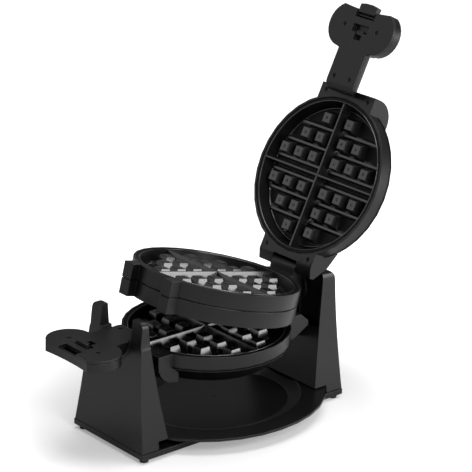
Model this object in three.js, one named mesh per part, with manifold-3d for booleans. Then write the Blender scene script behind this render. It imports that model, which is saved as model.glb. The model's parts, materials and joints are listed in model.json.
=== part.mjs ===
// A rotating double Belgian waffle maker, photographed with its lids open.
// A base with a front yoke and a rear tower carries a lower lid that turns about a level axis.
// A double-sided centre unit is hinged to the lower lid, and the upper lid to the centre unit.
// Units are millimetres, +Z is up, -Y is the handle side and +X is the side the drip tray leaves by.
// The model is built about the centre of the lower lid, and the origin is then set on the floor
// under the middle of the whole object.

import * as THREE from 'three';
import { mergeVertices } from 'three/addons/utils/BufferGeometryUtils.js';
import Module from 'manifold-3d';

const wasm = await Module();
wasm.setup();

// Fits and tools
const seatGap = 0.3;
const runningGap = 0.3;
const overrun = 2;
const roundSides = 32;
const smallSides = 12;
const screwSides = 8;
const arcSegments = 6;

// Turns in degrees
const quarterTurn = 90;
const halfTurn = 180;
const fullTurn = 360;

// Lids, centre unit and their stacking
const lidRadius = 107;
const lidWall = 2.4;
const lidSideHeight = 19.9;
const lidDepth = 39;
const lidBackInset = 21;
const lidStep = 3;
const rimLipWidth = 3;
const ledgeWidth = 4;
const ledgeThickness = 2.5;
const lowerRimZ = 124.1;
const centreThickness = 42;
const centreWall = 3.2;
const seamWidth = 0.6;
const seamDepth = 0.8;

// Waffle plates
const plateEdgeGap = 0.6;
const plateRimInset = 0.8;
const flangeWidth = 4.9;
const cavitySlope = 5.5;
const cavityDepth = 15;
const plateThickness = 2.4;
const flangeThickness = 2.6;
const plateSideGap = 1.6;
const dividerBase = 11;
const dividerTop = 1.8;
const dividerDrop = 0.6;
const pegFirstShare = 0.2204;
const pegPitchShare = 0.285;
const pegsPerSide = 3;
const pegBase = 16.6;
const pegTop = 13;
const pegDrop = 1.6;

// Heating elements, reflectors and thermostats
const elementInset = 25;
const elementTube = 6.2;
const elementGapAngle = 46;
const elementSteps = 16;
const elementSides = 6;
const reflectorInset = 2;
const reflectorThickness = 0.8;
const thermostatRadius = 8;
const thermostatHeight = 6;

// Hinges between the lids
const lowerPinReach = 17;
const lowerPinDrop = 14.1;
const upperPinReach = 13.5;
const upperPinRise = 9.2;
const centreTilt = 12.9;
const upperOpening = 115.98;
const pinRadius = 3;
const pinInset = 1.5;
const earReach = 6.2;
const earHeel = 3;
const earShoulder = 3.5;
const earFlat = 6;
const earOuter = 48.5;
const earInner = 22;
const knuckleRadius = 7.6;
const hingeSideGap = 0.6;
const wedgeBulgeDrop = 29.5;
const wedgeBulgeReach = 1;
const wedgeInset = 22;
const hingeScrewX = 39;
const hingeScrewInset = 2;

// Front lugs that key the handles to the lids
const lugHalfWidth = 48.5;
const lugReach = 9.4;
const lugCorner = 28;
const lugInset = 23;
const centreLugHalf = 45.5;
const centreLugInner = 29;
const centreLugReach = 7;
const lugScrewX = 38;
const lugScrewReach = 1;

// Handles: a bow-tie paddle on a half-round neck
const handleMeetGap = 0.3;
const neckHalf = 24.6;
const neckSide = 9;
const neckEndReach = 1.6;
const neckBendRadius = 12;
const neckLength = 55.9;
const lobeCentreX = 27;
const lobeReach = 29;
const lobeRadius = 29.5;
const paddleCornerX = 41;
const paddleLength = 52.5;
const paddleThickness = 15;
const throatRise = 1.5;
const coverThickness = 3.4;
const keySlotHalf = 14;
const keySlotInner = 5.5;
const keySlotOuter = 4.5;
const keyLegHalf = 6.3;
const keyLegReach = 15.5;
const keyDepth = 7;
const lockTabHalf = 9;
const lockTabRise = 4.4;
const lockTabThickness = 5.5;
const lockGap = 1.1;
const lockCatchHalf = 5.5;
const lockCatchDrop = 1;
const paddleScrewX = 28.8;
const neckScrewX = 14;
const neckScrewReach = 17.9;
const screwHeadRadius = 2.8;
const screwHeadHeight = 1.4;
const screwShankRadius = 1.5;
const screwLength = 9;
const screwSink = 0.5;

// Latch on the upper handle, and the recess for it in both handles
const latchSlotHalf = 17;
const latchSlotReach = 10;
const latchSlotDepth = 12.6;
const latchPocketDepth = 9;
const latchPocketWall = 3;
const latchHalf = 15;
const latchPivotInset = 3.6;
const latchPivotDrop = 6.4;
const latchBlockInset = 6.8;
const latchTipReach = 9.5;
const latchArmThickness = 3;
const latchBlockDepth = 8;
const latchCrownRadius = 60;
const latchPinRadius = 1.3;
const latchBarrel = 3;

// Base plinth and feet
const baseWidth = 138;
const baseFrontReach = 47.8;
const towerBackFlare = 4;
const plinthBottomZ = 5.2;
const plinthTopZ = 12.4;
const plinthWall = 3;
const footRadius = 5.6;
const baseScrewInset = 27;
const baseScrewFrontInset = 11.8;
const baseScrewRearInset = 12;
const bossRadius = 4.5;
const bossTopZ = 30;

// Front yoke
const yokeTopRise = 29.9;
const yokeTopHalf = 49.6;
const yokeOuterTopReach = 35;
const yokeInnerTopReach = 26.5;
const yokeInnerFootReach = 3;
const linerThickness = 4.9;
const postTopRound = 8;
const linerRunning = 0.5;
const linerTopRise = 4;
const shellWall = 3;
const widthFlareShare = 1.6;
const yokeFrontFlareShare = 0.8;
const yokeBackFlareShare = 1.3;
const loftLevels = 9;
const flareFootZ = 6;

// Rear tower
const towerTopRise = 28.3;
const towerTopHalf = 49.6;
const towerInnerTopReach = 45.6;
const towerInnerFootReach = 20.5;
const towerBackGap = 1.6;
const towerFaceFlareShare = 1.3;
const towerBackFlareShare = 1;
const towerMouthDrop = 47.1;
const towerMouthSag = 3;
const towerCapRoundFront = 6;
const towerCapRoundBack = 12;
const capSeamDrop = 2.8;

// Rotating hub
const hubDiscRadius = 24.5;
const hubDiscReach = 39;
const hubDiscThickness = 4;
const hubShaftRadius = 14;
const hubBore = 7;
const hubShaftOverhang = 3.4;
const hubScrewReach = 11;
const bushThickness = 3;
const bearingSetback = 9;
const bearingThickness = 10;
const bearingFootRise = 6;
const armHalf = 19;
const armPlateThickness = 4.2;
const armTopRise = 16.9;
const armSeatDrop = 25.5;
const armUnder = 5.1;
const armStepGap = 2.5;
const armHeelRise = 12;
const armFrontInset = 17;
const armHeelInset = 7.6;

// Drip tray
const trayReach = 17.5;
const trayFrontReach = 17;
const trayRearReach = 21.5;
const trayCentreShift = 10;
const trayEndTrim = 3;
const trayRimZ = 21.6;
const trayThickness = 1.8;
const trayLip = 3.2;
const trayLipWidth = 2.2;
const wellInsetX = 26.1;
const wellInsetY = 35.6;
const wellSlope = 9;
const traySlotClearance = 1.4;

// Derived radii
const rimBore = lidRadius - rimLipWidth;
const lidBackRadius = lidRadius - lidBackInset;
const centreBore = lidRadius - centreWall;
const plateFlangeRadius = rimBore - plateEdgeGap;
const cavityRadius = plateFlangeRadius - flangeWidth;
const cavityFloorRadius = cavityRadius - cavitySlope;
const pegFirst = cavityFloorRadius * pegFirstShare;
const pegPitch = cavityFloorRadius * pegPitchShare;
const elementRadius = cavityFloorRadius - elementInset;
const reflectorRadius = lidBackRadius - reflectorInset;

// Derived places along Y, measured from the middle of the lower lid
const lowerPinY = lidRadius + lowerPinReach;
const upperPinY = lidRadius + upperPinReach;
const wedgeBulgeY = lidRadius + wedgeBulgeReach;
const wedgeBackY = lidRadius - wedgeInset;
const hingeScrewY = lidRadius - hingeScrewInset;
const lugFrontY = lidRadius + lugReach;
const lugBackY = lidRadius - lugInset;
const centreLugFrontY = lidRadius + centreLugReach;
const lugScrewY = lidRadius + lugScrewReach;
const neckEndY = lidRadius + neckEndReach;
const neckScrewY = neckEndY + neckScrewReach;
const paddleNeckY = neckEndY + neckLength;
const paddleEdgeY = paddleNeckY + paddleLength;
const lobeCentreY = paddleNeckY + lobeReach;
const keySlotStart = lobeCentreY - keySlotInner;
const keySlotEnd = lobeCentreY + keySlotOuter;
const keyLegStart = lobeCentreY - keyLegReach;
const lockTabEnd = keySlotEnd - lockGap;
const lockTabStart = lockTabEnd - lockTabThickness;
const latchSlotStart = paddleEdgeY - latchSlotReach;
const latchPivotY = latchSlotStart + latchPivotInset;
const latchTipY = paddleEdgeY + latchTipReach;
const baseFrontY = lidRadius + baseFrontReach;
const baseScrewX = baseWidth / 2 - baseScrewInset;
const baseScrewFrontY = baseFrontY - baseScrewFrontInset;
const cradleRadius = neckHalf + linerRunning + linerThickness;
const yokeOuterTopY = lidRadius + yokeOuterTopReach;
const yokeInnerTopY = lidRadius + yokeInnerTopReach;
const yokeInnerFootY = lidRadius + yokeInnerFootReach;
const towerInnerTopY = lidRadius + towerInnerTopReach;
const towerInnerFootY = lidRadius + towerInnerFootReach;
const hubDiscY = lidRadius + hubDiscReach;
const bearingY = hubDiscY + bearingSetback;
const hubShaftEndY = bearingY + bearingThickness + hubShaftOverhang;
const towerBackTopY = hubShaftEndY + towerBackGap + shellWall;
const baseRearY = towerBackTopY + towerBackFlare;
const baseScrewRearY = baseRearY - baseScrewRearInset;
const armFrontY = lidRadius - armFrontInset;
const armHeelY = hubDiscY - armHeelInset;
const trayFrontY = yokeInnerFootY + trayFrontReach;
const trayRearY = towerInnerFootY + trayRearReach;
const trayCentreY = (trayRearY - trayFrontY) / 2 + trayCentreShift;
const trayHalfX = lidRadius + trayReach;
const trayHalfY = trayFrontY + trayCentreY + trayEndTrim;
const wellHalfX = trayHalfX - wellInsetX;
const wellHalfY = trayHalfY - wellInsetY;

// Derived heights
const upperRimZ = lowerRimZ + centreThickness;
const flipAxisZ = (lowerRimZ + upperRimZ) / 2;
const lowerPinZ = lowerRimZ - lowerPinDrop;
const upperPinZ = upperRimZ + upperPinRise;
const handleRise = flipAxisZ - lowerRimZ;
const centreHalfDepth = centreThickness / 2 - seatGap - handleMeetGap / 2;
const yokeFootZ = plinthTopZ + seatGap;
const yokeTopZ = flipAxisZ + yokeTopRise;
const towerTopZ = flipAxisZ + towerTopRise;
const towerMouthZ = flipAxisZ - towerMouthDrop;
const capSeamZ = flipAxisZ - capSeamDrop;
const bearingFootZ = towerMouthZ + bearingFootRise;
const armTopZ = flipAxisZ + armTopRise;
const armSeatZ = lowerRimZ - armSeatDrop;
const armFloorZ = lowerRimZ - lidDepth - armUnder;
const armStepZ = towerMouthZ + armStepGap;
const wellDepth = trayRimZ - plinthTopZ - seatGap - trayThickness;

// Moulded plastics and metals
const shellPlastic = { color: 0x1b1b1d, roughness: 0.42, metalness: 0 };
const mattePlastic = { color: 0x202123, roughness: 0.6, metalness: 0 };
const nonStick = { color: 0x0f0f10, roughness: 0.3, metalness: 0.2 };
const bareSteel = { color: 0x9a9a9a, roughness: 0.35, metalness: 1 };
const darkSteel = { color: 0x3a3a3c, roughness: 0.45, metalness: 0.9 };
const softRubber = { color: 0x141414, roughness: 0.85, metalness: 0 };

// Solid helpers

function signedVolume(positions, triangles) {
  const a = new THREE.Vector3();
  const b = new THREE.Vector3();
  const c = new THREE.Vector3();
  let sum = 0;
  for (let i = 0; i < triangles.length; i += 3) {
    a.fromArray(positions, triangles[i] * 3);
    b.fromArray(positions, triangles[i + 1] * 3);
    c.fromArray(positions, triangles[i + 2] * 3);
    sum += a.dot(b.cross(c));
  }
  return sum;
}

function toSolid(source) {
  const geometry = source.clone();
  geometry.deleteAttribute('normal');
  geometry.deleteAttribute('uv');
  const merged = mergeVertices(geometry);
  const positions = merged.getAttribute('position').array;
  const index = merged.getIndex().array;
  const kept = [];
  for (let i = 0; i < index.length; i += 3) {
    const [a, b, c] = [index[i], index[i + 1], index[i + 2]];
    if (a !== b && b !== c && c !== a) {
      kept.push(a, b, c);
    }
  }
  if (signedVolume(positions, kept) < 0) {
    kept.reverse();
  }
  return new wasm.Manifold(new wasm.Mesh({
    numProp: 3,
    vertProperties: new Float32Array(positions),
    triVerts: new Uint32Array(kept),
  }));
}

function toGeometry(solid) {
  const mesh = solid.getMesh();
  const geometry = new THREE.BufferGeometry();
  geometry.setAttribute('position', new THREE.BufferAttribute(new Float32Array(mesh.vertProperties), 3));
  geometry.setIndex(new THREE.BufferAttribute(new Uint32Array(mesh.triVerts), 1));
  geometry.computeVertexNormals();
  return geometry;
}

function join(solids) {
  return solids.reduce((whole, solid) => whole.add(solid));
}

function carve(solid, cuts) {
  return cuts.reduce((whole, cut) => whole.subtract(cut), solid);
}

function block(x0, x1, y0, y1, z0, z1) {
  const geometry = new THREE.BoxGeometry(x1 - x0, y1 - y0, z1 - z0);
  geometry.translate((x0 + x1) / 2, (y0 + y1) / 2, (z0 + z1) / 2);
  return toSolid(geometry);
}

// A profile of [radius, height] pairs turned about the vertical axis
function turned(profile, sides = roundSides) {
  const points = profile.map(([radius, height]) => new THREE.Vector2(radius, height));
  const geometry = new THREE.LatheGeometry(points, sides);
  geometry.rotateX(Math.PI / 2);
  return toSolid(geometry);
}

// A turned ring closes its profile on itself
function turnedRing(profile, sides = roundSides) {
  return turned([...profile, profile[0]], sides);
}

function rodAlong(axis, radius, start, end, sides = smallSides) {
  const geometry = new THREE.CylinderGeometry(radius, radius, end - start, sides);
  geometry.rotateY(Math.PI / sides);
  if (axis === 'x') {
    geometry.rotateZ(-Math.PI / 2);
  }
  if (axis === 'z') {
    geometry.rotateX(Math.PI / 2);
  }
  const middle = (start + end) / 2;
  geometry.translate(axis === 'x' ? middle : 0, axis === 'y' ? middle : 0, axis === 'z' ? middle : 0);
  return geometry;
}

function rod(axis, radius, start, end, at, sides = smallSides) {
  const geometry = rodAlong(axis, radius, start, end, sides);
  geometry.translate(at[0], at[1], at[2]);
  return toSolid(geometry);
}

function outline(points) {
  return new THREE.Shape(points.map(([x, y]) => new THREE.Vector2(x, y)));
}

// Extrudes a flat outline of [y, z] pairs along X
function extrudeAlongX(points, x0, x1) {
  const geometry = new THREE.ExtrudeGeometry(outline(points), { depth: x1 - x0, bevelEnabled: false });
  const basis = new THREE.Matrix4().makeBasis(
    new THREE.Vector3(0, 1, 0),
    new THREE.Vector3(0, 0, 1),
    new THREE.Vector3(1, 0, 0),
  );
  geometry.applyMatrix4(basis);
  geometry.translate(x0, 0, 0);
  return toSolid(geometry);
}

// Extrudes a flat outline of [x, z] pairs along Y
function extrudeAlongY(points, y0, y1) {
  const geometry = new THREE.ExtrudeGeometry(outline(points), { depth: y1 - y0, bevelEnabled: false });
  geometry.rotateX(Math.PI / 2);
  geometry.translate(0, y1, 0);
  return toSolid(geometry);
}

// Extrudes a flat outline in the XY plane upwards
function extrudeUp(shape, z0, z1, curveSegments = arcSegments) {
  const geometry = new THREE.ExtrudeGeometry(shape, { depth: z1 - z0, bevelEnabled: false, curveSegments });
  geometry.translate(0, 0, z0);
  return toSolid(geometry);
}

function arcPoints(centreA, centreB, radius, fromDegrees, toDegrees, steps) {
  const points = [];
  for (let i = 0; i <= steps; i += 1) {
    const angle = THREE.MathUtils.degToRad(fromDegrees + (toDegrees - fromDegrees) * i / steps);
    points.push([centreA + radius * Math.cos(angle), centreB + radius * Math.sin(angle)]);
  }
  return points;
}

// Joins rectangles at rising heights into one closed tapered block
function loft(levels) {
  const positions = [];
  const index = [];
  for (const { z, left, right, front, back } of levels) {
    positions.push(left, front, z, right, front, z, right, back, z, left, back, z);
  }
  for (let level = 0; level < levels.length - 1; level += 1) {
    for (let side = 0; side < 4; side += 1) {
      const a = level * 4 + side;
      const b = level * 4 + (side + 1) % 4;
      index.push(a, b, b + 4, a, b + 4, a + 4);
    }
  }
  const top = (levels.length - 1) * 4;
  index.push(0, 2, 1, 0, 3, 2, top, top + 1, top + 2, top, top + 2, top + 3);
  const geometry = new THREE.BufferGeometry();
  geometry.setAttribute('position', new THREE.Float32BufferAttribute(positions, 3));
  geometry.setIndex(index);
  return toSolid(geometry);
}

function mesh(name, solid, finish) {
  const material = new THREE.MeshStandardMaterial(finish);
  const piece = new THREE.Mesh(toGeometry(solid), material);
  piece.name = name;
  return piece;
}

// Identical fasteners or feet, one numbered mesh for each place
function copies(name, places, solidAt, finish) {
  return places.map((place, i) => mesh(`${name}_${i + 1}`, solidAt(place), finish));
}

// A group that turns its children about a pin along X, where the children keep the closed place
function hinged(pinY, pinZ, degrees) {
  const outer = new THREE.Group();
  outer.position.set(0, pinY, pinZ);
  outer.rotation.x = -THREE.MathUtils.degToRad(degrees);
  const inner = new THREE.Group();
  inner.position.set(0, -pinY, -pinZ);
  outer.add(inner);
  return { outer, inner };
}

// Waffle plate, face up, with its rim plane at height zero

function pegSolid(x, y) {
  const top = pegTop / 2;
  const base = pegBase / 2;
  return loft([
    { z: -cavityDepth - plateThickness / 2, left: x - base, right: x + base, front: y - base, back: y + base },
    { z: -pegDrop, left: x - top, right: x + top, front: y - top, back: y + top },
  ]);
}

function dividerSolid(along) {
  const half = dividerBase / 2;
  const top = dividerTop / 2;
  const foot = -cavityDepth - plateThickness / 2;
  const points = [[-half, foot], [half, foot], [top, -dividerDrop], [-top, -dividerDrop]];
  const reach = (cavityRadius + cavityFloorRadius) / 2;
  return along === 'x' ? extrudeAlongX(points, -reach, reach) : extrudeAlongY(points, -reach, reach);
}

function wafflePlate() {
  const under = -cavityDepth - plateThickness;
  const wallFoot = cavityFloorRadius + plateThickness / 2;
  const wallTop = cavityRadius + plateSideGap;
  const dish = turned([
    [0, under],
    [wallFoot, under],
    [wallTop, -plateRimInset - flangeThickness],
    [plateFlangeRadius, -plateRimInset - flangeThickness],
    [plateFlangeRadius, -plateRimInset],
    [cavityRadius, -plateRimInset],
    [cavityFloorRadius, -cavityDepth],
    [0, -cavityDepth],
  ]);
  const pegs = [];
  for (let i = 0; i < pegsPerSide; i += 1) {
    for (let j = 0; i + j < pegsPerSide; j += 1) {
      for (const sideX of [-1, 1]) {
        for (const sideY of [-1, 1]) {
          pegs.push(pegSolid(sideX * (pegFirst + pegPitch * i), sideY * (pegFirst + pegPitch * j)));
        }
      }
    }
  }
  const bowl = turned([[0, under], [wallFoot, under], [wallTop, 0], [0, 0]]);
  const pattern = join([dividerSolid('x'), dividerSolid('y'), ...pegs]).intersect(bowl);
  return dish.add(pattern);
}

// Heating element, an open ring of tube, centred on height zero
class RingPath extends THREE.Curve {
  getPoint(t) {
    const start = THREE.MathUtils.degToRad(elementGapAngle / 2);
    const angle = start + t * (Math.PI * 2 - start * 2);
    return new THREE.Vector3(elementRadius * Math.sin(angle), elementRadius * Math.cos(angle), 0);
  }
}

function elementSolid(z) {
  const lastSide = fullTurn - fullTurn / elementSides;
  const section = outline(arcPoints(0, 0, elementTube / 2, 0, lastSide, elementSides - 1));
  const geometry = new THREE.ExtrudeGeometry(section, { steps: elementSteps, extrudePath: new RingPath() });
  geometry.translate(0, 0, z);
  return toSolid(geometry);
}

// Lid shell in its rim frame: the rim plane is at height zero and the body hangs below it

function lidOuter(extra) {
  return turned([
    [0, -lidDepth - extra],
    [lidBackRadius + extra, -lidDepth - extra],
    [lidRadius - lidStep + extra, -lidSideHeight - seamDepth],
    [lidRadius - lidStep + extra, -lidSideHeight],
    [lidRadius - seamDepth + extra, -lidSideHeight],
    [lidRadius + extra, 0],
    [0, 0],
  ]);
}

function lidInner() {
  const ledgeTop = -plateRimInset - flangeThickness - seatGap;
  const ledgeRadius = rimBore - ledgeWidth;
  const backRadius = lidBackRadius - lidWall;
  return turned([
    [0, -lidDepth + lidWall],
    [backRadius, -lidDepth + lidWall],
    [lidRadius - lidStep - lidWall - seamDepth, -lidSideHeight],
    [ledgeRadius, ledgeTop - ledgeThickness],
    [ledgeRadius, ledgeTop],
    [rimBore, ledgeTop],
    [rimBore, overrun],
    [0, overrun],
  ]);
}

function frontLug() {
  const profile = [
    [-lugFrontY, 0],
    ...arcPoints(
      -lugFrontY + lugCorner,
      -lidDepth + lugCorner,
      lugCorner,
      halfTurn,
      halfTurn + quarterTurn,
      smallSides / 2,
    ),
    [-lugBackY, -lidDepth],
    [-lugBackY, 0],
  ];
  return extrudeAlongX(profile, -lugHalfWidth, lugHalfWidth);
}

// Hinge ears run from the lid's back to an eye around the pin, with a web between them
function hingeEars(pinY, pinDrop) {
  const profile = [
    [wedgeBackY, -lidDepth],
    [wedgeBulgeY, -wedgeBulgeDrop],
    [pinY + earReach, -pinDrop - earHeel],
    [pinY + earReach, -pinDrop + earShoulder],
    [pinY - earFlat, 0],
    [wedgeBackY, 0],
  ];
  const webEnd = pinY - knuckleRadius - hingeSideGap;
  const webHalf = earInner + overrun;
  return join([
    extrudeAlongX(profile, -earOuter, -earInner),
    extrudeAlongX(profile, earInner, earOuter),
    block(-webHalf, webHalf, wedgeBackY, webEnd, -pinDrop - knuckleRadius, 0),
  ]);
}

function hingeBore(pinY, pinZ) {
  return rod('x', pinRadius + runningGap, -earOuter + pinInset, earOuter - pinInset, [0, pinY, pinZ]);
}

function screwHoles(places, length) {
  const sink = screwHeadHeight + screwSink;
  return places.flatMap(([x, y]) => [
    rod('z', screwShankRadius + runningGap, -length, overrun, [x, y, 0], screwSides),
    rod('z', screwHeadRadius + runningGap, -sink, overrun, [x, y, 0], screwSides),
  ]);
}

function screwSolid([x, y]) {
  const top = -screwSink;
  const head = rod('z', screwHeadRadius, top - screwHeadHeight, top, [x, y, 0], screwSides);
  const shank = rod('z', screwShankRadius, top - screwLength, top, [x, y, 0], screwSides);
  return head.add(shank);
}

function lugScrewPlaces() {
  return [-1, 1].map((side) => [side * lugScrewX, -lugScrewY]);
}

function hingeScrewPlaces() {
  return [-1, 1].map((side) => [side * hingeScrewX, hingeScrewY]);
}

function lidShell(pinY, pinDrop, screwPlaces) {
  const body = join([lidOuter(0), frontLug(), hingeEars(pinY, pinDrop)]);
  return carve(body, [
    lidInner(),
    hingeBore(pinY, -pinDrop),
    ...screwHoles(screwPlaces, screwLength + screwSink + seatGap),
  ]);
}

// Handles, flat face up at height zero, reaching towards -Y

function paddleShape() {
  const shape = new THREE.Shape();
  const innerAngle = Math.asin((lobeCentreY - paddleNeckY) / lobeRadius);
  const outerAngle = -Math.acos((paddleCornerX - lobeCentreX) / lobeRadius);
  const cornerY = -lobeCentreY + lobeRadius * Math.sin(outerAngle);
  const throatX = Math.max(neckHalf, lobeCentreX + lobeRadius * Math.cos(innerAngle) / 2);
  shape.moveTo(neckHalf, -neckEndY);
  shape.lineTo(neckHalf, -paddleNeckY + throatRise);
  shape.lineTo(throatX, -paddleNeckY);
  shape.absarc(lobeCentreX, -lobeCentreY, lobeRadius, innerAngle, outerAngle, true);
  shape.quadraticCurveTo(paddleCornerX / 2, -paddleEdgeY, 0, -paddleEdgeY);
  shape.quadraticCurveTo(-paddleCornerX / 2, -paddleEdgeY, -paddleCornerX, cornerY);
  shape.absarc(-lobeCentreX, -lobeCentreY, lobeRadius, Math.PI - outerAngle, Math.PI - innerAngle, true);
  shape.lineTo(-throatX, -paddleNeckY);
  shape.lineTo(-neckHalf, -paddleNeckY + throatRise);
  shape.lineTo(-neckHalf, -neckEndY);
  return shape;
}

// The neck's side view: level face, a bend down to the lid, and a step over the lug
function neckProfile() {
  const root = -handleRise + seatGap;
  const lugFace = -lugFrontY - seatGap;
  const bendY = -neckEndY - neckBendRadius;
  return [
    [-paddleNeckY - overrun, 0],
    [-paddleNeckY - overrun, -neckHalf],
    [lugFace, -neckHalf],
    [lugFace, root],
    [-neckEndY, root],
    ...arcPoints(bendY, -neckBendRadius, neckBendRadius, 0, quarterTurn, smallSides / 2),
  ];
}

function neckSection() {
  const angle = THREE.MathUtils.radToDeg(Math.asin(neckSide / neckHalf));
  const arc = arcPoints(0, 0, neckHalf, halfTurn + angle, fullTurn - angle, roundSides / 4);
  return [[neckHalf, 0], [-neckHalf, 0], ...arc];
}

function neckSolid() {
  const reach = neckHalf + overrun;
  const side = extrudeAlongX(neckProfile(), -reach, reach);
  return side.intersect(extrudeAlongY(neckSection(), -paddleNeckY - overrun, -neckEndY));
}

function handleWhole() {
  const reach = lobeCentreX + lobeRadius + overrun;
  const inner = -paddleNeckY + throatRise;
  const paddleOnly = block(-reach, reach, -paddleEdgeY - lobeRadius, inner, -paddleThickness - overrun, overrun);
  return extrudeUp(paddleShape(), -paddleThickness, 0).intersect(paddleOnly).add(neckSolid());
}

function keySlot(depth) {
  const bar = block(-keySlotHalf, keySlotHalf, -keySlotEnd, -keySlotStart, -depth, overrun);
  const leg = block(-keyLegHalf, keyLegHalf, -keySlotStart - overrun, -keyLegStart, -depth, overrun);
  return bar.add(leg);
}

function latchRecess(endY, depth) {
  return block(-latchSlotHalf, latchSlotHalf, -endY, -latchSlotStart, -depth, overrun);
}

function handleScrewPlaces() {
  return [-1, 1].flatMap((side) => [[side * paddleScrewX, -lobeCentreY], [side * neckScrewX, -neckScrewY]]);
}

// The face of the handle is a cover plate, so the space above this height belongs to the cover
function coverSpace(bottom) {
  const reach = lobeCentreX + lobeRadius + overrun;
  return block(-reach, reach, -latchTipY - overrun, 0, bottom, overrun);
}

function handleCover() {
  return carve(handleWhole().intersect(coverSpace(-coverThickness)), [
    keySlot(coverThickness + overrun),
    latchRecess(latchTipY, coverThickness + overrun),
    ...screwHoles(handleScrewPlaces(), screwLength),
  ]);
}

function handleBody(recess) {
  return carve(handleWhole().subtract(coverSpace(-coverThickness - seatGap)), [
    keySlot(keyDepth),
    recess,
    ...screwHoles(handleScrewPlaces(), screwLength + screwSink + seatGap),
  ]);
}

// The upper handle's recess is open at the edge for the latch, and the lower one is a pocket
function openRecess() {
  return latchRecess(latchTipY, latchSlotDepth);
}

function pocketRecess() {
  return latchRecess(paddleEdgeY - latchPocketWall, latchPocketDepth);
}

// The lower handle's tab stands up into the upper handle's key slot when the lids are closed
function lockTab() {
  return block(-lockTabHalf, lockTabHalf, -lockTabEnd, -lockTabStart, -keyDepth + seatGap, lockTabRise);
}

// The upper handle's catch lies in the key slot, on the inner side of the tab's place
function lockCatch() {
  const outer = -lockTabStart + lockGap;
  const inner = outer + lockTabThickness;
  return block(-lockCatchHalf, lockCatchHalf, outer, inner, -keyDepth + seatGap, -lockCatchDrop);
}

// Latch: an arm on a pin in the recess, ending in a block that stands out past the paddle's edge
function latchFlap() {
  const armTop = -latchPivotDrop + latchArmThickness / 2;
  const armBottom = -latchPivotDrop - latchArmThickness / 2;
  const blockInner = -latchSlotStart - latchBlockInset;
  const profile = [
    [-latchPivotY, armBottom],
    [-latchPivotY, armTop],
    [blockInner, armTop],
    [blockInner, -seatGap],
    [-latchTipY, -seatGap],
    [-latchTipY, -latchBlockDepth],
    [blockInner, -latchBlockDepth],
    [blockInner, armBottom],
  ];
  const across = latchHalf + overrun;
  const crownY = -latchTipY + latchCrownRadius;
  const crown = rod('z', latchCrownRadius, -paddleThickness, overrun, [0, crownY, 0], roundSides);
  const barrel = rod('x', latchBarrel, -latchHalf, latchHalf, [0, -latchPivotY, -latchPivotDrop]);
  const bore = rod('x', latchPinRadius + runningGap, -across, across, [0, -latchPivotY, -latchPivotDrop]);
  return extrudeAlongX(profile, -latchHalf, latchHalf).intersect(crown).add(barrel).subtract(bore);
}

function latchPin() {
  const reach = latchSlotHalf - seatGap;
  return rod('x', latchPinRadius, -reach, reach, [0, -latchPivotY, -latchPivotDrop]);
}

function discSolid(radius, bottom, top, sides = roundSides / 2) {
  return turned([[0, bottom], [radius, bottom], [radius, top], [0, top]], sides);
}

// One lid with its plate, element, reflector and handle, in its rim frame
function lidPieces({ name, pinY, pinDrop, screwPlaces, recess, key }) {
  const plateBack = -cavityDepth - plateThickness;
  const elementTop = plateBack - seatGap;
  const reflectorTop = elementTop - elementTube - seatGap;
  const group = new THREE.Group();
  group.add(mesh(`${name}_lid_shell`, lidShell(pinY, pinDrop, screwPlaces), shellPlastic));
  group.add(mesh(`${name}_waffle_plate`, wafflePlate(), nonStick));
  group.add(...copies(`${name}_lid_screw`, screwPlaces, screwSolid, darkSteel));
  group.add(mesh(`${name}_heating_element`, elementSolid(elementTop - elementTube / 2), darkSteel));
  const reflector = discSolid(reflectorRadius, reflectorTop - reflectorThickness, reflectorTop);
  group.add(mesh(`${name}_reflector`, reflector, bareSteel));
  const thermostat = discSolid(thermostatRadius, elementTop - thermostatHeight, elementTop, smallSides);
  group.add(mesh(`${name}_thermostat`, thermostat, bareSteel));
  const handle = new THREE.Group();
  handle.position.z = handleRise - handleMeetGap / 2;
  handle.add(mesh(`${name}_handle_body`, handleBody(recess), shellPlastic));
  handle.add(mesh(`${name}_handle_cover`, handleCover(), mattePlastic));
  handle.add(...copies(`${name}_handle_screw`, handleScrewPlaces(), screwSolid, darkSteel));
  handle.add(mesh(`${name}_handle_key`, key, mattePlastic));
  group.add(handle);
  return { group, handle };
}

function pinSolid(pinY, pinZ) {
  const reach = earOuter - pinInset - seatGap;
  return rod('x', pinRadius, -reach, reach, [0, pinY, pinZ]);
}

// Centre unit: two half shells back to back, a plate on each side

function centreRing() {
  const ledgeTop = -plateRimInset - flangeThickness - seatGap;
  const ledgeRadius = rimBore - ledgeWidth;
  const seamRadius = lidRadius - seamDepth;
  return turnedRing([
    [rimBore, 0],
    [lidRadius, 0],
    [lidRadius, -centreHalfDepth + seamWidth],
    [seamRadius, -centreHalfDepth + seamWidth],
    [seamRadius, -centreHalfDepth],
    [centreBore, -centreHalfDepth],
    [centreBore, ledgeTop - ledgeThickness - ledgeWidth],
    [ledgeRadius, ledgeTop - ledgeThickness],
    [ledgeRadius, ledgeTop],
    [rimBore, ledgeTop],
  ]);
}

function centreLugs() {
  return [[-centreLugHalf, -centreLugInner], [centreLugInner, centreLugHalf]].map(([low, high]) => {
    const whole = block(low, high, -centreLugFrontY, -lugBackY, -centreHalfDepth + seamWidth, 0);
    const seam = block(
      low + seamDepth,
      high - seamDepth,
      -centreLugFrontY + seamDepth,
      -lugBackY,
      -centreHalfDepth,
      -seamWidth,
    );
    return whole.add(seam);
  });
}

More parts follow.
